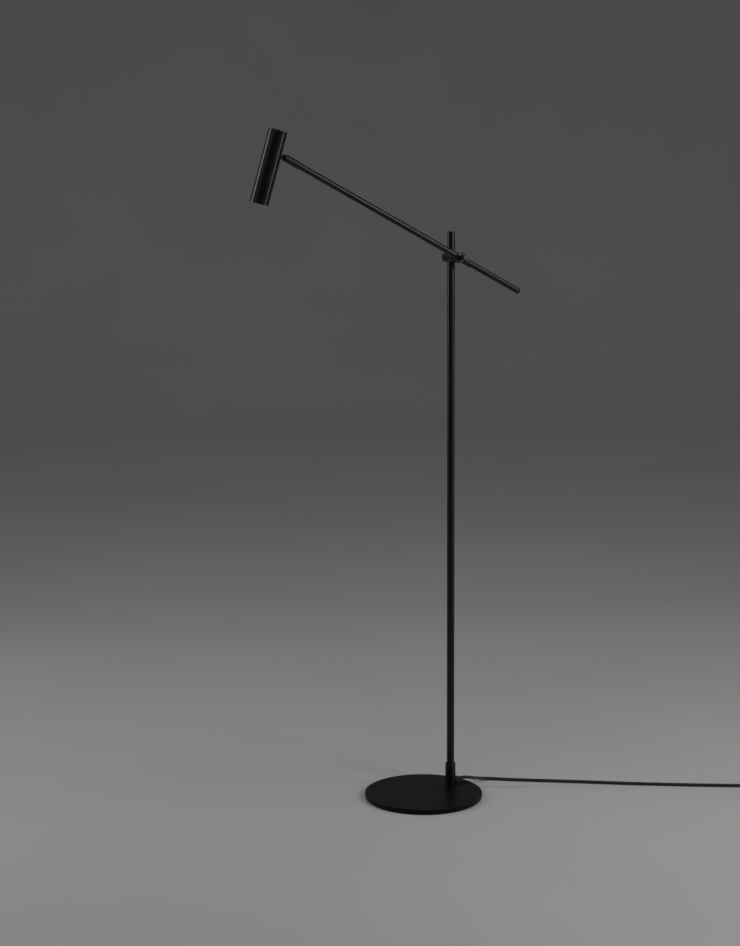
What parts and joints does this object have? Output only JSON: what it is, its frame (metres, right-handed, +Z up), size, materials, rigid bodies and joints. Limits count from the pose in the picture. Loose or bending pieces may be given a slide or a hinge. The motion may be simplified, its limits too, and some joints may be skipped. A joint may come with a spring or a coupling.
{
  "type": "adjustable arm floor lamp",
  "caption": "Slim black floor lamp: round base, off-centre pole, cross clamp with a tilting arm, and a cylindrical spot head on a swivelling knuckle.",
  "frame": {"origin": "centre of the underside of the round base, on the floor", "axes": "+Z up along the pole, +X from the base's centre towards the pole"},
  "size_m": [0.8952, 0.8255, 1.4007],
  "materials": {
    "black_coat": "fine-textured matt black powder coat",
    "base_coat": "fine-textured matt black powder coat on steel",
    "pole_satin": "smooth satin black lacquer on steel tube",
    "arm_satin": "smooth satin black lacquer on aluminium tube",
    "button_black": "satin moulded",
    "steel": "turned, lightly oiled",
    "satin_nickel": "satin nickel plate",
    "textile_cord": "braided black textile sleeve",
    "rubber": "matt moulded",
    "black_plastic": "fine-grained moulded",
    "nylon": "natural nylon",
    "bare_aluminium": "bare, machined",
    "opal_lens": "satin opal diffuser",
    "phosphor": "cured phosphor gel",
    "circuit_board": "solder mask"
  },
  "bodies": {
    "base": {"base_disc": "base_coat", "base_pad": "rubber", "foot_nut": "steel", "foot_washer": "steel", "pole_foot_sleeve": "base_coat", "sleeve_set_screw": "steel", "pole_tube": "pole_satin", "pole_top_cap": "pole_satin", "cable_gland": "rubber", "pole_wire": "textile_cord", "power_cord": "textile_cord", "cord_coil": "textile_cord", "cord_tie": "textile_cord", "plug_body": "black_plastic", "plug_pin_left": "satin_nickel", "plug_pin_right": "satin_nickel"},
    "clamp": {"clamp_body": "black_coat", "pivot_friction_washer": "nylon", "clamp_wire": "textile_cord"},
    "rear_knob": {"clamp_knob": "black_coat", "clamp_knob_screw": "steel", "clamp_pressure_pad": "nylon"},
    "tilt_knob": {"pivot_knob": "black_coat", "pivot_screw": "steel", "pivot_knob_cap": "satin_nickel"},
    "arm": {"arm_hub": "black_coat", "arm_grub_screw": "satin_nickel", "arm_tube": "arm_satin", "arm_guide_sleeve": "black_coat", "arm_tail_plug": "arm_satin", "arm_wire": "textile_cord"},
    "knuckle": {"knuckle_sleeve": "black_coat", "knuckle_pin": "steel"},
    "head": {"head_tube": "black_coat", "front_bezel": "black_coat", "lens": "opal_lens", "reflector": "bare_aluminium", "led_chip": "phosphor", "led_board": "circuit_board", "heat_sink": "bare_aluminium", "driver_board": "circuit_board", "head_wire": "textile_cord", "switch_case": "black_plastic", "knuckle_tongue": "black_coat", "tongue_screw_lower": "steel", "tongue_screw_upper": "steel", "rear_cap": "black_coat", "cap_screw_left": "steel", "cap_screw_right": "steel"},
    "button": {"switch_button": "button_black"}
  },
  "joints": [
    {"name": "clamp_swivel", "type": "hinge", "parent": "base", "child": "clamp", "pos_m": [0.091, 0, 1.1443], "axis": [0, 0, 1], "range_deg": [-70, 70]},
    {"name": "clamp_knob_turn", "type": "hinge", "parent": "clamp", "child": "rear_knob", "pos_m": [0.091, 0, 1.1443], "axis": [0.3875, 0.9219, 0], "range_deg": [0, 360]},
    {"name": "tilt_knob_turn", "type": "hinge", "parent": "clamp", "child": "tilt_knob", "pos_m": [0.091, 0, 1.1443], "axis": [-0.3875, -0.9219, 0], "range_deg": [0, 360]},
    {"name": "arm_tilt", "type": "hinge", "parent": "clamp", "child": "arm", "pos_m": [0.07666, -0.03411, 1.1443], "axis": [-0.3875, -0.9219, 0], "range_deg": [-48, 86]},
    {"name": "head_turn", "type": "hinge", "parent": "arm", "child": "knuckle", "pos_m": [-0.28087, 0.11618, 1.34217], "axis": [-0.8212, 0.3452, 0.4545], "range_deg": [-165, 165]},
    {"name": "head_tilt", "type": "hinge", "parent": "knuckle", "child": "head", "pos_m": [-0.28087, 0.11618, 1.34217], "axis": [-0.4414, -0.8889, -0.1224], "range_deg": [-88, 61]},
    {"name": "switch_press", "type": "slide", "parent": "head", "child": "button", "axis": [-0.1636, 0.2139, -0.9631], "range_m": [0, 0.0015], "stiffness_N_per_m": 500}
  ]
}
